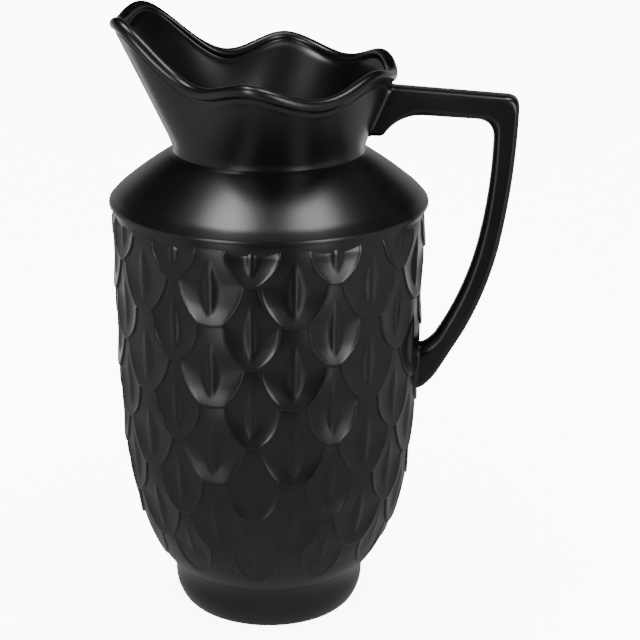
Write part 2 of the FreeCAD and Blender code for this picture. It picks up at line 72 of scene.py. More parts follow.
# The shoulder in millimetres: its lower edge, the slope above it, how far each corner's rounding reaches
# and the seam under the neck
SHOULDER_UNDER, SHOULDER_UNDER_ROUND = (75.3, 209.3), 0.5
SHOULDER_EDGE, SHOULDER_EDGE_ROUND = (77.3, 211.0), 0.8
SHOULDER_ROUNDING, SHOULDER_ROUNDING_REACH = (73.65, 215.1), 1.8
SHOULDER_BULGE, SHOULDER_BULGE_REACH = (61.3, 225.4), 13.5
SHOULDER_HOLLOW_INSET, SHOULDER_HOLLOW_ROUND = 2.0, 3.0
NECK_SEAM = (46.4, 235.2)
NECK_COLLAR, NECK_COLLAR_ROUND = 1.3, 0.6

# The neck and its ruffled mouth in millimetres: how far it dips into the shoulder, the heights above its seam
# where it is straight, starts to bend and aims outward, how far up the slope its bends reach, its wall at the
# rim and the bead. The rim's places are azimuth in degrees, radius and height above the seam
NECK_TUCK = 1.0
NECK_STRAIGHT, NECK_BEND_START = 0.3, 0.8
NECK_RISE = 4.0
NECK_BEND_END, THROAT_BEND_END = 7.0, 10.0
MOUTH_WALL = 4.2
BEAD_RADIUS = 2.9
RIM_HALF = [(0, 58, 36.8), (28, 58.5, 40.8), (61, 62, 33.3), (91, 66, 41.3), (121.5, 52.8, 35.8),
            (158.5, 70.5, 61.8), (180, 71.5, 58.3)]

# The fine forms under the bead: how far they lie below its middle, their widths and their depth or height.
# UNDER_BEAD is the stretch that holds them
UNDER_BEAD = 12.0
GROOVE_DROP, GROOVE_WIDTH, GROOVE_DEPTH = 3.1, 0.9, 0.25
RIDGE_DROP, RIDGE_WIDTH, RIDGE_HEIGHT = 5.0, 1.2, 0.1
INNER_GROOVE_DROP, INNER_GROOVE_WIDTH, INNER_GROOVE_DEPTH = 3.0, 1.0, 0.35
INNER_GROOVE_FADE = 2.2

# The handle in its upright plane: places in millimetres from the jug's axis and the ground, from the neck on
HANDLE_WIDTH = 13.0
HANDLE_ROUND, HANDLE_INNER_ROUND = 3.4, 5.0
ARM_ROOT, ARM_TOP, BEND_OUTER_START = (56.2, 267.2), (76.0, 266.1), (111.8, 264.1)
BEND_OUTER_END = (118.3, 257.4)
LEG_OUTER = [(118.35, 262.0), BEND_OUTER_END, (112.4, 195.0), (95.9, 146.4)]
HEEL_OUTER = [(101.0, 155.5), (95.9, 146.4), (84.2, 125.8), (77.5, 117.8), (73.5, 116.2), (71.0, 116.4)]
TOE_IN, TOE, TOE_END, TOE_ROUND = (45.2, 242.8), (54.6, 242.8), (55.8, 244.3), 1.8
ARM_BOTTOM, GUSSET_ROUND = (73.0, 253.4), 20.5
BEND_INNER_START, BEND_INNER_END = (97.5, 252.6), (106.7, 243.8)
LEG_INNER = [(106.72, 250.0), BEND_INNER_END, (101.6, 194.0), (82.95, 146.0)]
CROTCH_INNER = [(87.5, 153.6), (82.95, 146.0), (73.0, 137.8), (71.0, 137.2)]
WELD_REACH, WELD_SWELL = 2.0, 0.7

# The scales, in millimetres and degrees; widths are shares of the room that one scale has round the body
SCALES_AROUND = 12
SCALE_ROWS = 10
SCALE_TURN = 1.5
SCALE_PITCH = 20.0
SCALE_FIRST_TIP = 21.4
SCALE_BAND = 4.0
SCALE_LIP = 1.75
SCALE_SEAT = 0.25
SCALE_SKIRT = 1.5
NARROW_SHARE, NARROW_TIP_SHARE, NARROW_ROUNDNESS = 0.69, 0.14, 2.6
WIDE_SHARE, WIDE_TIP_SHARE, WIDE_ROUNDNESS = 0.86, 0.31, 1.6
CORNER_LIFT = 0.15
CORE_INSET = 1.3
DISH_DEPTH = 1.9
KEEL_STEEPNESS = 0.5
KEEL_SHARE = 0.28

# The forms of a scale: where they begin and end, up from its tip in pitches or in from its edge in
# millimetres, and the shares and powers that shape them
SCALE_REACH = 2.04
LINE_CROWDING = 1.2
CORNER_FADE = 0.4
TUCK_START, TUCK_END, TUCK_SHARE, TUCK_MARGIN = 0.97, 1.05, 0.09, 0.5
BAND_FADE, BAND_SHARE = 0.16, 0.35
EDGE_ROLL, EDGE_SINK = 1.0, 0.55
DISH_EDGE, DISH_LOW, DISH_HIGH, DISH_FLATNESS = (0.5, 1.6), (-0.05, 0.62), (0.75, 1.75), 2.6
KEEL_START, KEEL_LENGTH, KEEL_SKEW, KEEL_FLANK, KEEL_LEAST = 0.3, 1.27, 0.78, 1.5, 0.05

# The rows, counted from the top, over which the hollows and keels calm down and the lips fade, and how much
CALM_ROWS, CALM_SHARE = (6.2, 9.5), 0.62
FADING_ROWS, FADING_SHARE = (6.8, 9.2), 0.75

# How finely the forms are divided, the angles in degrees past which an edge stays sharp, and a nudge that
# keeps a whole number whole after a division
TURN_STEPS, ARC_STEPS, ROUNDING_STEPS, TOE_STEPS, FOOT_STEPS = 240, 24, 6, 8, 12
SCALE_COLUMNS, SCALE_LINES = 29, 28
RIM_STEPS, NECK_STEPS, FORM_STEPS, BEAD_STEPS, INNER_FORM_STEPS, THROAT_STEPS = 24, 12, 32, 24, 28, 10
CORNER_STEPS, SIDE_STEPS, BEND_STEPS = 8, 13, 16
GUSSET_PLACES, ARM_PLACES, BEND_PLACES, LEG_PLACES, HEEL_PLACES = 60, 12, 18, 44, 60
SHEET_STEPS, TENT_STEPS = 96, 48
TURNED_CREASE, FREE_CREASE = 40, 60
NUDGE = 0.0001

# The glaze. Its roughness stays above 0.274, because the denoiser works differently on the two sides of that
# value and would draw a line between them
GLAZE_DEEP = (0.0016, 0.0016, 0.0017, 1)
GLAZE_MATT = (0.0024, 0.0024, 0.0024, 1)
GLAZE_ROUGHNESS, MATT_ROUGHER = 0.28, 0.03
CLOUD_SCALE, CLOUD_DETAIL, CLOUD_RANGE = 26.0, 3.0, (0.35, 0.7)

# The studio, in metres. The tent has its radius, foot, top and how far it is open to each side of the camera.
# A softbox has its name, azimuth from the camera, elevation, distance, width, height and power
AIR_STRENGTH = 3.0
FLOOR_SIZE, FLOOR_TONE, FLOOR_GLOW = 12, 0.95, 8.0
SHEET_RADIUS, SHEET_HEIGHT, SHEET_GLOW = 0.42, 0.0001, 0.42
TENT = (1.5, -0.8, 0.6, 58)
TENT_GLOW = 0.5
MATT_ROUGHNESS = 0.9
LIGHTS_AIM = (0, 0, 0.14)
SOFTBOXES = [
    ("softbox_left", -33, 18, 1.0, 0.3, 0.62, 5),
    ("softbox_left_low", -33, -16, 1.0, 0.3, 0.5, 0.9),
    ("softbox_right", 37, 18, 1.0, 0.3, 0.62, 5),
    ("softbox_right_low", 37, -16, 1.0, 0.3, 0.5, 0.9),
    ("overhead_left", -74, 73, 1.2, 0.4, 0.28, 6.4),
    ("overhead_right", 80, 72, 1.2, 0.42, 0.3, 5.2),
    ("back_left", -148, -12, 1.2, 0.3, 0.5, 0.5),
    ("back_right", 148, -12, 1.2, 0.3, 0.5, 0.5),
]


class Field:
    """A socket with arithmetic: an expression on fields adds its Math nodes."""

    def __init__(self, tree, socket):
        self.tree, self.socket = tree, socket

    def math(self, operation, *others):
        node = self.tree.nodes.new("ShaderNodeMath")
        node.operation = operation
        for slot, value in zip(node.inputs, (self, *others)):
            plug(self.tree, slot, value)
        return Field(self.tree, node.outputs[0])

    def __add__(self, other):
        return self.math("ADD", other)

    __radd__ = __add__

    def __sub__(self, other):
        return self.math("SUBTRACT", other)

    def __rsub__(self, other):
        return (self * -1) + other

    def __mul__(self, other):
        return self.math("MULTIPLY", other)

    __rmul__ = __mul__

    def __truediv__(self, other):
        return self.math("DIVIDE", other)

    def __rtruediv__(self, other):
        return self.math("POWER", -1) * other

    def __pow__(self, other):
        return self.math("POWER", other)

    def __abs__(self):
        return self.math("ABSOLUTE")

    def at_least(self, other):
        return self.math("MAXIMUM", other)

    def at_most(self, other):
        return self.math("MINIMUM", other)

    def between(self, low, high):
        return self.at_least(low).at_most(high)

    def mod(self, other):
        return self.math("FLOORED_MODULO", other)

    def over(self, other):
        return self.math("GREATER_THAN", other)

    def ramp(self, start, end):
        """0 before start and 1 after end, with a soft step between."""
        share = ((self - start) / (end - start)).between(0, 1)
        return share * share * (3 - share * 2)

    def blend(self, low, high):
        """low where this field is 0, high where it is 1."""
        return low + (high - low) * self


def plug(tree, slot, value):
    """Links the slot to a field or a socket, or sets it to a plain value."""
    if isinstance(value, Field):
        tree.links.new(value.socket, slot)
    elif isinstance(value, bpy.types.NodeSocket):
        tree.links.new(value, slot)
    else:
        slot.default_value = value


class Wiring:
    """A node tree and the one method that adds its other nodes."""

    def __init__(self, tree):
        self.tree = tree

    def add(self, kind, settings=(), output=0, **values):
        """A node of this kind: its settings first, then its sockets by name, as values or links."""
        node = self.tree.nodes.new(kind)
        for name, setting in dict(settings).items():
            setattr(node, name, setting)
        for name, value in values.items():
            plug(self.tree, node.inputs[name.replace("_", " ")], value)
        return Field(self.tree, node.outputs[output])

    def split(self, vector):
        """The three parts of a vector."""
        first = self.add("ShaderNodeSeparateXYZ", Vector=vector)
        return [Field(self.tree, socket) for socket in first.socket.node.outputs]

    def join(self, x, y, z):
        """The vector of three parts."""
        return self.add("ShaderNodeCombineXYZ", X=x, Y=y, Z=z)

    def keep(self, geometry, name, value):
        """The geometry with this value stored on its points."""
        return self.add("GeometryNodeStoreNamedAttribute", Geometry=geometry, Name=name, Value=value)

    def recall(self, name):
        """The value that keep stored under this name."""
        return self.add("GeometryNodeInputNamedAttribute", Name=name)


def shares(count, first=1):
    """The shares of a stretch in this many even steps, from its first step on, or from 0."""
    return [step / count for step in range(first, count + 1)]


def round_angles(count):
    """This many even angles once round."""
    return [2 * math.pi * step / count for step in range(count)]


def tangent_arcs(corners):
    """The points of a line through the first two corners and of arcs, each in line with what comes before."""
    points = [Vector(corner) for corner in corners[:2]]
    heading = points[1] - points[0]
    for corner in corners[2:]:
        start, chord = points[-1], Vector(corner) - points[-1]
        course = math.atan2(heading.y, heading.x)
        half = math.atan2(heading.x * chord.y - heading.y * chord.x, heading.dot(chord))
        for share in shares(ARC_STEPS):
            reach = chord.length * math.sin(half * share) / math.sin(half)
            ahead = course + half * share
            points.append(start + Vector((math.cos(ahead), math.sin(ahead))) * reach)
        heading = Vector((math.cos(course + 2 * half), math.sin(course + 2 * half)))
    return points


def curve_object(name, points):
    """An open curve through these radii and heights in millimetres, on the side of the handle."""
    data = bpy.data.curves.new(name, "CURVE")
    data.dimensions = "3D"
    spline = data.splines.new("POLY")
    spline.points.add(len(points) - 1)
    for point, (across, up) in zip(spline.points, points):
        point.co = (across * MM, 0, up * MM, 1)
    thing = bpy.data.objects.new(name, data)
    bpy.context.scene.collection.objects.link(thing)
    return thing


def grown(name, tree, values):
    """The plain mesh object that the geometry tree makes from these values of its named inputs."""
    seed = bpy.data.objects.new(f"{name}_seed", bpy.data.meshes.new(f"{name}_seed"))
    bpy.context.scene.collection.objects.link(seed)
    modifier = seed.modifiers.new(name, "NODES")
    modifier.node_group = tree
    for item in tree.interface.items_tree:
        if item.item_type == "SOCKET" and item.in_out == "INPUT" and item.name in values:
            modifier[item.identifier] = values[item.name]
    bpy.context.view_layer.update()
    made = seed.evaluated_get(bpy.context.evaluated_depsgraph_get())
    mesh = bpy.data.meshes.new_from_object(made)
    mesh.name = name
    thing = bpy.data.objects.new(name, mesh)
    bpy.context.scene.collection.objects.link(thing)
    bpy.data.objects.remove(seed)
    return thing


def new_tree(name, inputs):
    """The wiring of an empty geometry tree, and its named inputs as fields."""
    tree = bpy.data.node_groups.new(name, "GeometryNodeTree")
    for label, kind in inputs.items():
        tree.interface.new_socket(label, in_out="INPUT", socket_type=kind)
    tree.interface.new_socket("Geometry", in_out="OUTPUT", socket_type="NodeSocketGeometry")
    given = tree.nodes.new("NodeGroupInput")
    fields = {socket.name: Field(tree, socket) for socket in given.outputs if socket.name}
    return Wiring(tree), fields


def finish_tree(wiring, geometry, material):
    """The tree, closed with its material and its output."""
    painted = wiring.add("GeometryNodeSetMaterial", Geometry=geometry, Material=material)
    out = wiring.tree.nodes.new("NodeGroupOutput")
    plug(wiring.tree, out.inputs[0], painted)
    return wiring.tree


def flat_patch(wiring, given):
    """One flat grid whose middle is the scale and whose outermost faces at three edges are its skirt."""
    columns, lines = given["Columns of a scale"], given["Lines of a scale"]
    patch = wiring.add("GeometryNodeMeshGrid", Size_X=1.0, Size_Y=1.0, Vertices_X=columns, Vertices_Y=lines)
    x, y, _ = wiring.split(wiring.add("GeometryNodeInputPosition"))
    column = ((x + 0.5) * (columns - 1)).math("ROUND")
    line = ((y + 0.5) * (lines - 1)).math("ROUND")
    across = ((column - 1) / (columns - 3) * 2 - 1).between(-1, 1)
    rise = ((line - 1) / (lines - 2)).at_least(0)
    on_side = abs(column / (columns - 1) * 2 - 1).over(1 - NUDGE)
    on_tip = (1 - line).at_least(0)
    patch = wiring.keep(patch, "across", (across * math.pi / 2).math("SINE"))
    patch = wiring.keep(patch, "rise", rise ** LINE_CROWDING)
    return wiring.keep(patch, "skirt", on_side.at_least(on_tip))


def rows_of(wiring, given, patch):
    """The patch once for each place of each row, and each copy knows its row and place."""
    around = given["Around"]
    index = wiring.add("GeometryNodeInputIndex")
    spots = wiring.add("GeometryNodePoints", Count=around * given["Rows"])
    spots = wiring.keep(spots, "row", (index / around + NUDGE).math("FLOOR"))
    spots = wiring.keep(spots, "place", index.mod(around))
    coat = wiring.add("GeometryNodeInstanceOnPoints", Points=spots, Instance=patch)
    return wiring.add("GeometryNodeRealizeInstances", Geometry=coat)


def on_wall(wiring, given, down):
    """Radius and height of the wall this far down from its top, and its slope there outward and upward."""
    wall = wiring.add("GeometryNodeObjectInfo", output="Geometry", Object=given["Wall"])
    place = wiring.add("GeometryNodeSampleCurve", {"mode": "LENGTH"}, "Position", Curves=wall, Length=down)
    radius, _, height = wiring.split(place)
    outward, _, upward = wiring.split(place.socket.node.outputs["Tangent"])
    return radius, height, outward, upward


def scale_coat_tree():
    """Rows of overlapping scales: one patch, repeated and then bent on to the wall of the jug."""
    inputs = {
        "Wall": "NodeSocketObject",
        "Material": "NodeSocketMaterial",
        "Around": "NodeSocketInt",
        "Rows": "NodeSocketInt",
        "Columns of a scale": "NodeSocketInt",
        "Lines of a scale": "NodeSocketInt",
    }
    for label in (
        "Pitch", "First tip", "Band", "Wall length", "Lip", "Seat", "Skirt", "Dish", "Keel steepness",
        "Keel share", "Turn", "Corner lift", "Narrow width", "Narrow tip", "Narrow roundness", "Wide width",
        "Wide tip", "Wide roundness",
    ):
        inputs[label] = "NodeSocketFloat"
    wiring, given = new_tree("scale_coat", inputs)
    coat = rows_of(wiring, given, flat_patch(wiring, given))

    across, rise, skirt = (wiring.recall(name) for name in ("across", "rise", "skirt"))
    row, place = wiring.recall("row"), wiring.recall("place")
    wide = row.mod(2)
    pitch = given["Pitch"]
    width = wide.blend(given["Narrow width"], given["Wide width"])
    tip_width = wide.blend(given["Narrow tip"], given["Wide tip"])
    roundness = wide.blend(given["Narrow roundness"], given["Wide roundness"])
    next_width = wide.blend(given["Wide width"], given["Narrow width"])
    next_tip = wide.blend(given["Wide tip"], given["Narrow tip"])
    next_roundness = wide.blend(given["Wide roundness"], given["Narrow roundness"])

    # How far up from the tip, in pitches, between the end of the wall and the plain band
    tip = given["First tip"] + row * pitch
    lowest = ((tip - given["Wall length"]) / pitch).at_least(0)
    highest = ((tip - given["Band"]) / pitch).at_most(SCALE_REACH)
    up = lowest + (highest - lowest) * rise
    corner_lift = across * across * (1 - up.ramp(0, CORNER_FADE)) * tip_width * given["Corner lift"]
    radius, height, outward, upward = on_wall(wiring, given, tip - (up + corner_lift) * pitch)

    # Half the scale's width: its own round end below, and what the row above leaves free higher up
    fall = (1 - up).between(0, 1)
    own = tip_width + (width - tip_width) * (1 - fall ** roundness)
    next_fall = (2 - up).between(0, 1)
    free = 1 - (next_tip + (next_width - next_tip) * (1 - next_fall ** next_roundness))
    tucked = free + up.ramp(TUCK_START, TUCK_END) * TUCK_SHARE
    half = up.over(1).blend(own, tucked)

    # How far in from the nearest edge, measured square to the edge
    room = math.pi / given["Around"]
    half_length = half * room * radius
    from_side = (1 - abs(across)) * half_length + (up - 1).at_least(0) * pitch * TUCK_MARGIN
    steep = (width - tip_width) * roundness * fall ** (roundness - 1) * room * radius / pitch
    from_side = from_side / (steep * steep + 1).math("SQRT")
    from_edge = from_side.at_most((up - lowest) * pitch)

    # Relief: a lip that falls from tip to seat, a dish inside a rounded rim, and a creased leaf-shaped keel
    calm = 1 - row.ramp(*CALM_ROWS) * CALM_SHARE
    lip_left = 1 - row.ramp(*FADING_ROWS) * FADING_SHARE
    face = given["Seat"] + (given["Lip"] * lip_left - given["Seat"]) * (1 - up / 2)
    face = face * (highest - up).ramp(0, BAND_FADE).blend(BAND_SHARE, 1)
    roll_off = (1 - from_edge / (EDGE_ROLL * MM)).between(0, 1)
    face = face - roll_off * roll_off * lip_left * EDGE_SINK * MM
    inside_rim = from_edge.ramp(DISH_EDGE[0] * MM, DISH_EDGE[1] * MM)
    dish = inside_rim * up.ramp(*DISH_LOW) * (1 - up.ramp(*DISH_HIGH))
    hollow = 1 - abs(across) ** DISH_FLATNESS
    leaf_place = ((up - KEEL_START) / KEEL_LENGTH).between(0, 1) ** KEEL_SKEW
    leaf = given["Keel share"] * width * room * radius * (leaf_place * (1 - leaf_place) * 4)
    beside = (1 - abs(across) * half_length / leaf.at_least(KEEL_LEAST * MM)).between(0, 1)
    keel = leaf * beside ** KEEL_FLANK * given["Keel steepness"] / KEEL_FLANK
    face = face + (keel - dish * hollow * given["Dish"]) * calm
    lift = skirt.blend(face, given["Skirt"] * -1)

    angle = (place + wide / 2) * room * 2 + across * half * room + given["Turn"]
    out = radius - upward * lift
    seat = wiring.join(out * angle.math("COSINE"), out * angle.math("SINE"), height + outward * lift)
    coat = wiring.add("GeometryNodeSetPosition", Geometry=coat, Position=seat)
    coat = wiring.add("GeometryNodeSetShadeSmooth", Geometry=coat)
    return finish_tree(wiring, coat, given["Material"])


def scale_coat(glaze):
    """The coat of scales, grown on a profile of the wall that is only there meanwhile."""
    wall = tangent_arcs([WALL_TOP, WALL_MIDDLE, WALL_LOW, WALL_TURN, WALL_WAIST])
    length = sum((b - a).length for a, b in zip(wall, wall[1:]))
    profile = curve_object("wall_profile", wall)
    values = {
        "Wall": profile,
        "Material": glaze,
        "Around": SCALES_AROUND,
        "Rows": SCALE_ROWS,
        "Columns of a scale": SCALE_COLUMNS,
        "Lines of a scale": SCALE_LINES,
        "Pitch": SCALE_PITCH * MM,
        "First tip": SCALE_FIRST_TIP * MM,
        "Band": SCALE_BAND * MM,
        "Wall length": length * MM,
        "Lip": SCALE_LIP * MM,
        "Seat": SCALE_SEAT * MM,
        "Skirt": SCALE_SKIRT * MM,
        "Dish": DISH_DEPTH * MM,
        "Keel steepness": KEEL_STEEPNESS,
        "Keel share": KEEL_SHARE,
        "Turn": math.radians(SCALE_TURN),
        "Corner lift": CORNER_LIFT,
        "Narrow width": NARROW_SHARE,
        "Narrow tip": NARROW_TIP_SHARE,
        "Narrow roundness": NARROW_ROUNDNESS,
        "Wide width": WIDE_SHARE,
        "Wide tip": WIDE_TIP_SHARE,
        "Wide roundness": WIDE_ROUNDNESS,
    }
    coat = grown("scale_coat", scale_coat_tree(), values)
    bpy.data.objects.remove(profile)
    return coat


def mesh_piece(name, vertices, faces, glaze, crease):
    """A smooth mesh of points in millimetres, with creases only where it turns by more than this angle."""
    mesh = bpy.data.meshes.new(name)
    mesh.from_pydata([tuple(c * MM for c in vertex) for vertex in vertices], [], faces)
    mesh.validate()
    mesh.materials.append(glaze)
    thing = bpy.data.objects.new(name, mesh)
    bpy.context.scene.collection.objects.link(thing)
    mesh.shade_smooth()
    mesh.set_sharp_from_angle(angle=math.radians(crease))
    return thing


def ring_faces(rings, count):
    """The faces between each ring of this many points and the next, and from the last ring to the first."""
    faces = []
    for ring in range(rings):
        here, there = ring * count, (ring + 1) % rings * count
        for a in range(count):
            b = (a + 1) % count
            faces.append((here + a, there + a, there + b, here + b))
    return faces


def turned_piece(name, outline, glaze):
    """A closed outline of radii and heights in millimetres, turned round the jug's axis."""
    vertices = []
    for angle in round_angles(TURN_STEPS):
        x, y = math.cos(angle), math.sin(angle)
        vertices += [(radius * x, radius * y, height) for radius, height in outline]
    return mesh_piece(name, vertices, ring_faces(TURN_STEPS, len(outline)), glaze, TURNED_CREASE)


def bend(start, corner, end, steps=ROUNDING_STEPS):
    """The points of a soft bend from start to end that aims at the corner between them."""
    start, corner, end = Vector(start), Vector(corner), Vector(end)
    return [start * (1 - s) ** 2 + corner * 2 * s * (1 - s) + end * s * s for s in shares(steps, 0)]


def rounded(corners, steps=ROUNDING_STEPS):
    """The points of a line of corners, each given with how far its rounding reaches before and behind it."""
    points = []
    for before, (corner, reach), after in zip([None] + corners, corners, corners[1:] + [None]):
        corner = Vector(corner)
        if not reach:
            points.append(corner)
            continue
        back = (Vector(before[0]) - corner).normalized() * reach
        ahead = (Vector(after[0]) - corner).normalized() * reach
        points += bend(corner + back, corner, corner + ahead, steps)
    return points


def arc_points(start, end, radius, steps=ARC_STEPS):
    """The points of an arc that bulges to the left of its way, or to the right if its radius is negative."""
    start, end = Vector(start), Vector(end)
    chord = end - start
    half = math.asin(chord.length / 2 / radius)
    points = []
    for share in shares(steps, 0):
        reach = 2 * abs(radius) * abs(math.sin(half * share))
        course = math.atan2(chord.y, chord.x) + half * (1 - share)
        points.append(start + Vector((math.cos(course), math.sin(course))) * reach)
    return points


def foot(glaze):
    """The foot, hollow underneath and blended into the wall."""
    inside = FOOT_SEAM[0] - FOOT_WALL
    top, bottom = (inside, FOOT_SEAM[1]), (inside, FOOT_EDGE[1])
    tuck = (FOOT_EDGE[0] + FOOT_EDGE_ROUND, FOOT_EDGE[1] + FOOT_EDGE_ROUND)
    outline = rounded([(top, 0), (bottom, FOOT_INSIDE_ROUND), (FOOT_EDGE, 0)])
    outline += arc_points(tuck, FOOT_BULGE, -FOOT_SIDE_ROUND, FOOT_STEPS)
    outline += bend(FOOT_BULGE, *FOOT_BLEND, FOOT_STEPS)[1:]
    return turned_piece("foot_turned", outline, glaze)


def shoulder(glaze):
    """The sloping shoulder, with its soft lower edge and the hollow inside it."""
    cone = (NECK_SEAM[0] + NECK_COLLAR, NECK_SEAM[1] - NECK_COLLAR)
    lower_inside = (WALL_TOP[0] - WALL_THICKNESS, WALL_TOP[1])
    upper_inside = (NECK_SEAM[0] - WALL_THICKNESS, NECK_SEAM[1])
    hollow = (SHOULDER_ROUNDING[0] - WALL_THICKNESS - SHOULDER_HOLLOW_INSET, SHOULDER_EDGE[1])
    outline = rounded([
        (lower_inside, 0),
        (SHOULDER_UNDER, 0),
        ((SHOULDER_EDGE[0], SHOULDER_UNDER[1]), SHOULDER_UNDER_ROUND),
        (SHOULDER_EDGE, SHOULDER_EDGE_ROUND),
        (SHOULDER_ROUNDING, SHOULDER_ROUNDING_REACH),
        (SHOULDER_BULGE, SHOULDER_BULGE_REACH),
        (cone, NECK_COLLAR_ROUND),
        (NECK_SEAM, 0),
        (upper_inside, 0),
        (hollow, SHOULDER_HOLLOW_ROUND),
        (lower_inside, 0),
    ])
    return turned_piece("shoulder_cone", outline[:-1], glaze)


def rim_line():
    """The middle of the rim's bead: a smooth closed curve through its lobes and dips, alike on both sides."""
    other_side = [(-azimuth, radius, rise) for azimuth, radius, rise in reversed(RIM_HALF[1:-1])]
    spots = []
    for azimuth, radius, rise in RIM_HALF + other_side:
        turn = math.radians(azimuth)
        spots.append((radius * math.cos(turn), radius * math.sin(turn), NECK_SEAM[1] + rise))
    spots = np.array(spots)
    ahead = np.roll(spots, -1, axis=0) - spots
    span = np.linalg.norm(ahead, axis=1)
    last_span = np.roll(span, 1)
    count = len(spots)

    # The slopes at the spots with which the curve also bends evenly through each of them
    system = np.zeros((count, count))
    for n in range(count):
        system[n, n - 1] = 1 / last_span[n]
        system[n, n] = 2 / last_span[n] + 2 / span[n]
        system[n, (n + 1) % count] = 1 / span[n]
    pull = ahead / span[:, None] ** 2
    slopes = np.linalg.solve(system, 3 * (pull + np.roll(pull, 1, axis=0)))

    points = []
    for n in range(count):
        following = (n + 1) % count
        for s in shares(RIM_STEPS, 0)[:-1]:
            place = spots[n] * (1 + 2 * s) * (1 - s) ** 2 + spots[following] * s * s * (3 - 2 * s)
            place = place + slopes[n] * span[n] * s * (1 - s) ** 2
            points.append(place + slopes[following] * span[n] * s * s * (s - 1))
    return points


def mound(drop, place, width):
    """1 at this place and softly down to 0 beside it."""
    return math.exp(-((drop - place) / width) ** 2)


def mouth_outline(rim):
    """The outline of the neck's wall and bead in one upright plane, for this radius and height of the rim."""
    neck, seam = NECK_SEAM
    base = Vector((neck - WALL_THICKNESS / 2, seam + NECK_RISE))
    along = (rim - base).normalized()
    out = Vector((along.y, -along.x))
    length = (rim - base).length

    def half_wall(place):
        return (WALL_THICKNESS + (MOUTH_WALL - WALL_THICKNESS) * place / length) / 2

    outside = [Vector((neck, seam - NECK_TUCK)), Vector((neck, seam + NECK_STRAIGHT))]
    bend_end = base + along * NECK_BEND_END + out * half_wall(NECK_BEND_END)
    outside += bend((neck, seam + NECK_BEND_START), base + out * WALL_THICKNESS / 2, bend_end)
    for share in shares(NECK_STEPS):
        place = NECK_BEND_END + (length - UNDER_BEAD - NECK_BEND_END) * share
        outside.append(base + along * place + out * half_wall(place))

    seam_angle = math.acos(MOUTH_WALL / 2 / BEAD_RADIUS)
    bottom = BEAD_RADIUS * math.sin(seam_angle)
    for share in shares(FORM_STEPS)[:-1]:
        drop = UNDER_BEAD + (bottom - UNDER_BEAD) * share
        ridge = RIDGE_HEIGHT * mound(drop, RIDGE_DROP, RIDGE_WIDTH)
        groove = GROOVE_DEPTH * mound(drop, GROOVE_DROP, GROOVE_WIDTH)
        outside.append(rim - along * drop + out * (half_wall(length - drop) + ridge - groove))

    bead = []
    for share in shares(BEAD_STEPS, 0):
        angle = -seam_angle + (math.pi + 2 * seam_angle) * share
        bead.append(rim + (along * math.sin(angle) + out * math.cos(angle)) * BEAD_RADIUS)

    inside = []
    for share in shares(INNER_FORM_STEPS):
        drop = bottom + (UNDER_BEAD - bottom) * share
        width = INNER_GROOVE_WIDTH if drop < INNER_GROOVE_DROP else INNER_GROOVE_FADE
        groove = INNER_GROOVE_DEPTH * mound(drop, INNER_GROOVE_DROP, width)
        inside.append(rim - along * drop - out * (half_wall(length - drop) - groove))
    for share in shares(THROAT_STEPS):
        place = length - UNDER_BEAD + (THROAT_BEND_END - length + UNDER_BEAD) * share
        inside.append(base + along * place - out * half_wall(place))
    throat = (neck - WALL_THICKNESS, seam - NECK_TUCK)
    inside += bend(inside[-1], base - out * WALL_THICKNESS / 2, throat)[1:]
    return outside + bead + inside


def mouth(glaze):
    """The neck and the ruffled mouth with its bead, one outline for each place of the rim."""
    vertices, rim = [], rim_line()
    for x, y, z in rim:
        radius = math.hypot(x, y)
        outline = mouth_outline(Vector((radius, z)))
        vertices += [(place.x * x / radius, place.x * y / radius, place.y) for place in outline]
    faces = ring_faces(len(rim), len(vertices) // len(rim))
    return mesh_piece("ruffled_mouth", vertices, faces, glaze, FREE_CREASE)


def resampled(points, count):
    """As many points as count, evenly spaced along a line of points."""
    lengths = [0.0]
    for a, b in zip(points, points[1:]):
        lengths.append(lengths[-1] + (b - a).length)
    places = np.linspace(0, lengths[-1], count)
    columns = [np.interp(places, lengths, [point[axis] for point in points]) for axis in (0, 1)]
    return [Vector(place) for place in zip(*columns)]


def neck_surface(height):
    """The radius of the neck's outside at the handle, at this height."""
    low, high = NECK_SEAM[1] + NECK_RISE, NECK_SEAM[1] + RIM_HALF[0][2]
    share = min(max((height - low) / (high - low), 0), 1)
    return NECK_SEAM[0] + share * (RIM_HALF[0][1] - NECK_SEAM[0] + MOUTH_WALL / 2)


def belly_surface(height):
    """The radius of the scales' outside at the handle, at this height."""
    share = (height - WALL_LOW[1]) / (WALL_MIDDLE[1] - WALL_LOW[1])
    return WALL_LOW[0] + share * (WALL_MIDDLE[0] - WALL_LOW[0]) + SCALE_LIP / 2


def section(outer, inner):
    """The handle's rounded section between its outer and inner line: each place with its way outward."""
    across = (outer - inner).normalized()
    middle = (outer + inner) / 2
    depth, width = (outer - inner).length / 2, HANDLE_WIDTH / 2
    corners = {1: HANDLE_ROUND, -1: HANDLE_INNER_ROUND}
    places = []
    for quarter, (up, side) in enumerate(((1, 1), (-1, 1), (-1, -1), (1, -1))):
        corner = corners[up]
        for share in shares(CORNER_STEPS, 0):
            angle = math.pi / 2 * (quarter + share)
            rise, wide = math.cos(angle), math.sin(angle)
            spot = middle + across * (up * (depth - corner) + rise * corner)
            place = (spot.x, side * (width - corner) + wide * corner, spot.y)
            places.append((place, (across.x * rise, wide, across.y * rise)))
        if up == side:
            start, end = up * (depth - corner), -up * (depth - corners[-up])
            for share in shares(SIDE_STEPS)[:-1]:
                spot = middle + across * (start + (end - start) * share)
                places.append(((spot.x, side * width, spot.y), (0, side, 0)))
    return places


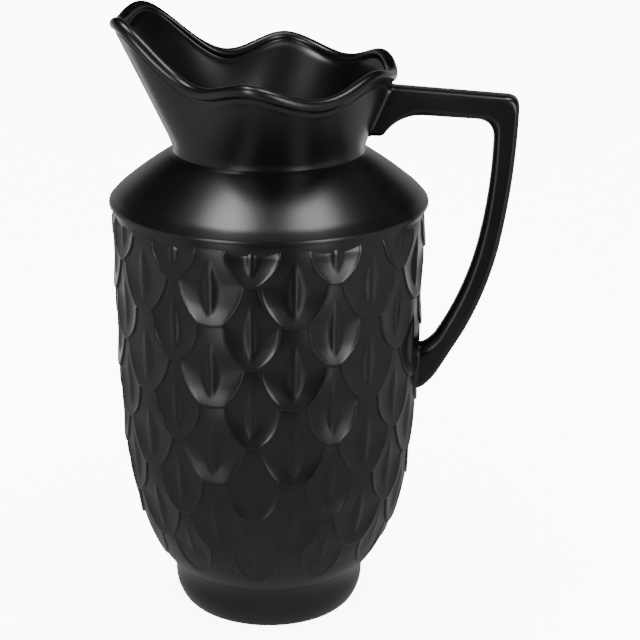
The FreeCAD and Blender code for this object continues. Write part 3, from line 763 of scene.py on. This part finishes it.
def handle_lines():
    """The handle's outer and inner line from the neck round to the belly, point for point."""
    toe = rounded([(TOE_IN, 0), (TOE, TOE_ROUND), (TOE_END, 0)], TOE_STEPS)
    gusset = toe[:-1] + arc_points(TOE_END, ARM_BOTTOM, GUSSET_ROUND)
    outer_corner = (BEND_OUTER_END[0], BEND_OUTER_START[1])
    inner_corner = (BEND_INNER_END[0], BEND_INNER_START[1])
    outer_bend = bend(BEND_OUTER_START, outer_corner, BEND_OUTER_END, BEND_STEPS)
    inner_bend = bend(BEND_INNER_START, inner_corner, BEND_INNER_END, BEND_STEPS)
    arm_above = [Vector(ARM_TOP), Vector(BEND_OUTER_START)]
    arm_below = [Vector(ARM_BOTTOM), Vector(BEND_INNER_START)]
    stretches = [
        ([Vector(ARM_ROOT), Vector(ARM_TOP)], gusset, GUSSET_PLACES),
        (arm_above, arm_below, ARM_PLACES),
        (outer_bend, inner_bend, BEND_PLACES),
        (tangent_arcs(LEG_OUTER)[1:], tangent_arcs(LEG_INNER)[1:], LEG_PLACES),
        (tangent_arcs(HEEL_OUTER)[1:], tangent_arcs(CROTCH_INNER)[1:], HEEL_PLACES),
    ]
    outer, inner = [Vector(ARM_ROOT)], [Vector(TOE_IN)]
    for outer_line, inner_line, count in stretches:
        outer += resampled(outer_line, count)[1:]
        inner += resampled(inner_line, count)[1:]
    return outer, inner


def handle(glaze):
    """The arm, the bend, the leg and both roots in one strap, welded softly to the neck and the belly."""
    outer, inner = handle_lines()
    vertices = []
    for here, there in zip(outer, inner):
        for (x, y, z), (out_x, out_y, out_z) in section(here, there):
            surface = neck_surface(z) if z > NECK_SEAM[1] else belly_surface(z)
            near = min(max(1 - (math.hypot(x, y) - surface) / WELD_REACH, 0), 1)
            swell = WELD_SWELL * near * near
            vertices.append((x + out_x * swell, y + out_y * swell, z + out_z * swell))

    # The two ends of the strap are closed with a face each and not joined with each other
    count = len(vertices) // len(outer)
    around = ring_faces(len(outer), count)[:-count]
    faces = [tuple(reversed(face)) for face in around]
    faces.append(tuple(range(count)))
    faces.append(tuple(reversed(range(len(vertices) - count, len(vertices)))))
    return mesh_piece("strap_handle", vertices, faces, glaze, FREE_CREASE)


def belly_core(glaze):
    """The plain wall under the scales, with the inside of the body."""
    band_end = Vector((WALL_TOP[0], WALL_TOP[1] - SCALE_BAND))
    under_scales = [
        (WALL_TOP[0] - CORE_INSET, WALL_TOP[1] - 2 * SCALE_BAND),
        (WALL_MIDDLE[0] - CORE_INSET, WALL_MIDDLE[1]),
        (WALL_LOW[0] - CORE_INSET, WALL_LOW[1]),
        WALL_TURN,
        WALL_WAIST,
    ]
    outside = [Vector(WALL_TOP), band_end] + tangent_arcs(under_scales)
    inside = tangent_arcs([
        (WALL_TOP[0] - WALL_THICKNESS, WALL_TOP[1]),
        (WALL_MIDDLE[0] - WALL_THICKNESS, WALL_MIDDLE[1]),
        (WALL_LOW[0] - WALL_THICKNESS, WALL_LOW[1]),
        (WALL_TURN[0] - WALL_THICKNESS * SLANT_SHARE, WALL_TURN[1]),
        (WALL_WAIST[0] - WALL_THICKNESS, FLOOR_TOP),
    ])
    foot_inside = Vector((WALL_WAIST[0] - WALL_THICKNESS, WALL_WAIST[1]))
    return turned_piece("belly_core", outside[::-1] + inside + [foot_inside], glaze)


def place_camera():
    """The camera of the photograph, with its picture shifted sideways as there."""
    data = bpy.data.cameras.new("studio_camera")
    data.sensor_width = SENSOR_WIDTH
    data.lens = SENSOR_WIDTH / 2 / math.tan(math.radians(CAMERA_FOV / 2))
    data.shift_x = CAMERA_SHIFT
    camera = bpy.data.objects.new("studio_camera", data)
    bpy.context.scene.collection.objects.link(camera)
    turn = math.radians(CAMERA_AZIMUTH)
    camera.location = (CAMERA_DISTANCE * math.sin(turn), -CAMERA_DISTANCE * math.cos(turn), CAMERA_HEIGHT)
    camera.rotation_euler = (math.radians(90 - CAMERA_DIP), 0, turn)
    bpy.context.scene.camera = camera


def black_glaze():
    """Satin black glaze: a deep black, and clouds where it fired a little more matt."""
    material = bpy.data.materials.new("black_glaze")
    material.use_nodes = True
    wiring = Wiring(material.node_tree)
    shader = material.node_tree.nodes["Principled BSDF"]
    place = wiring.add("ShaderNodeTexCoord", output="Object")
    clouds = wiring.add("ShaderNodeTexNoise", Vector=place, Scale=CLOUD_SCALE, Detail=CLOUD_DETAIL)
    matt = clouds.ramp(*CLOUD_RANGE)

    # A Mix node's colours share their names with its numbers, so they are found by their place
    tone = wiring.add("ShaderNodeMix", {"data_type": "RGBA"}, output=2, Factor=matt)
    mix = tone.socket.node
    mix.inputs[6].default_value = GLAZE_DEEP
    mix.inputs[7].default_value = GLAZE_MATT
    plug(wiring.tree, shader.inputs["Base Color"], tone)
    plug(wiring.tree, shader.inputs["Roughness"], GLAZE_ROUGHNESS + matt * MATT_ROUGHER)
    return material


def plain_finish(name, tone, glow):
    """An even, matt finish that glows by itself."""
    material = bpy.data.materials.new(name)
    material.use_nodes = True
    shader = material.node_tree.nodes["Principled BSDF"]
    shader.inputs["Base Color"].default_value = (tone, tone, tone, 1)
    shader.inputs["Roughness"].default_value = MATT_ROUGHNESS
    shader.inputs["Specular IOR Level"].default_value = 0.0
    shader.inputs["Emission Color"].default_value = (1, 1, 1, 1)
    shader.inputs["Emission Strength"].default_value = glow
    return material


def stage_mesh(name, points, faces, material):
    """A plain mesh of points in metres that belongs to the studio, not to the jug."""
    mesh = bpy.data.meshes.new(name)
    mesh.from_pydata(points, [], faces)
    mesh.materials.append(material)
    thing = bpy.data.objects.new(name, mesh)
    bpy.context.scene.collection.objects.link(thing)
    return thing


def round_wall(radius, low, high, opening):
    """The points and faces of an upright round wall that is open by this angle to each side of the camera."""
    points, faces = [], []
    for share in shares(TENT_STEPS, 0):
        turn = math.radians(CAMERA_AZIMUTH + opening + (360 - 2 * opening) * share)
        for height in (low, high):
            points.append((radius * math.sin(turn), -radius * math.cos(turn), height))
    for first in range(0, 2 * TENT_STEPS, 2):
        faces.append((first, first + 2, first + 3, first + 1))
    return points, faces


def studio():
    """A white floor in even light, and what the glaze alone mirrors: a small glowing disc in place of a lit
    table, and an open tent that glows dimly.
    """
    reach = FLOOR_SIZE / 2
    corners = [(-reach, -reach, 0), (reach, -reach, 0), (reach, reach, 0), (-reach, reach, 0)]
    floor = stage_mesh("floor", corners, [(0, 1, 2, 3)], plain_finish("pale_floor", FLOOR_TONE, FLOOR_GLOW))
    floor.visible_glossy = floor.visible_diffuse = False

    turns = round_angles(SHEET_STEPS)
    disc = [(SHEET_RADIUS * math.cos(turn), SHEET_RADIUS * math.sin(turn), SHEET_HEIGHT) for turn in turns]
    # The disc and the tent are no lamps but glow by themselves, and only the glaze mirrors them: they stand
    # in for the light of a lit table and a dim room
    sheen = plain_finish("glowing_sheet_finish", 0.0, SHEET_GLOW)
    sheet = stage_mesh("table_sheen", disc, [tuple(range(SHEET_STEPS))], sheen)
    tent = stage_mesh("dim_tent", *round_wall(*TENT), plain_finish("glowing_tent_finish", 0.0, TENT_GLOW))
    for mirrored in (sheet, tent):
        mirrored.visible_camera = mirrored.visible_diffuse = mirrored.visible_shadow = False

    world = bpy.data.worlds.new("studio_air")
    world.use_nodes = True
    world.node_tree.nodes["Background"].inputs["Color"].default_value = (1, 1, 1, 1)
    world.node_tree.nodes["Background"].inputs["Strength"].default_value = AIR_STRENGTH
    world.cycles_visibility.glossy = False
    bpy.context.scene.world = world


def softbox(name, azimuth, elevation, distance, width, height, power):
    """A softbox that faces the middle of the jug, with its azimuth counted from the camera's."""
    data = bpy.data.lights.new(name, "AREA")
    data.shape = "RECTANGLE"
    data.size, data.size_y = width, height
    data.energy = power
    lamp = bpy.data.objects.new(name, data)
    bpy.context.scene.collection.objects.link(lamp)
    turn, rise = math.radians(azimuth + CAMERA_AZIMUTH), math.radians(elevation)
    away = Vector((math.sin(turn) * math.cos(rise), -math.cos(turn) * math.cos(rise), math.sin(rise)))
    lamp.location = Vector(LIGHTS_AIM) + away * distance
    lamp.rotation_euler = away.to_track_quat("Z", "Y").to_euler()
    lamp.visible_camera = False


place_camera()
studio()
for box in SOFTBOXES:
    softbox(*box)
glaze = black_glaze()
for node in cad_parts.values():
    node.data.materials.clear()
    node.data.materials.append(glaze)

dressed = [
    (scale_coat(glaze), ["belly_wall"]),
    (belly_core(glaze), ["belly_wall"]),
    (foot(glaze), ["foot_ring"]),
    (shoulder(glaze), ["shoulder"]),
    (mouth(glaze), ["neck_and_mouth", "rim_roll"]),
    (handle(glaze), ["handle", "upper_root", "lower_root"]),
]
for piece, nodes in dressed:
    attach(piece, "root")
    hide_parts(*nodes)
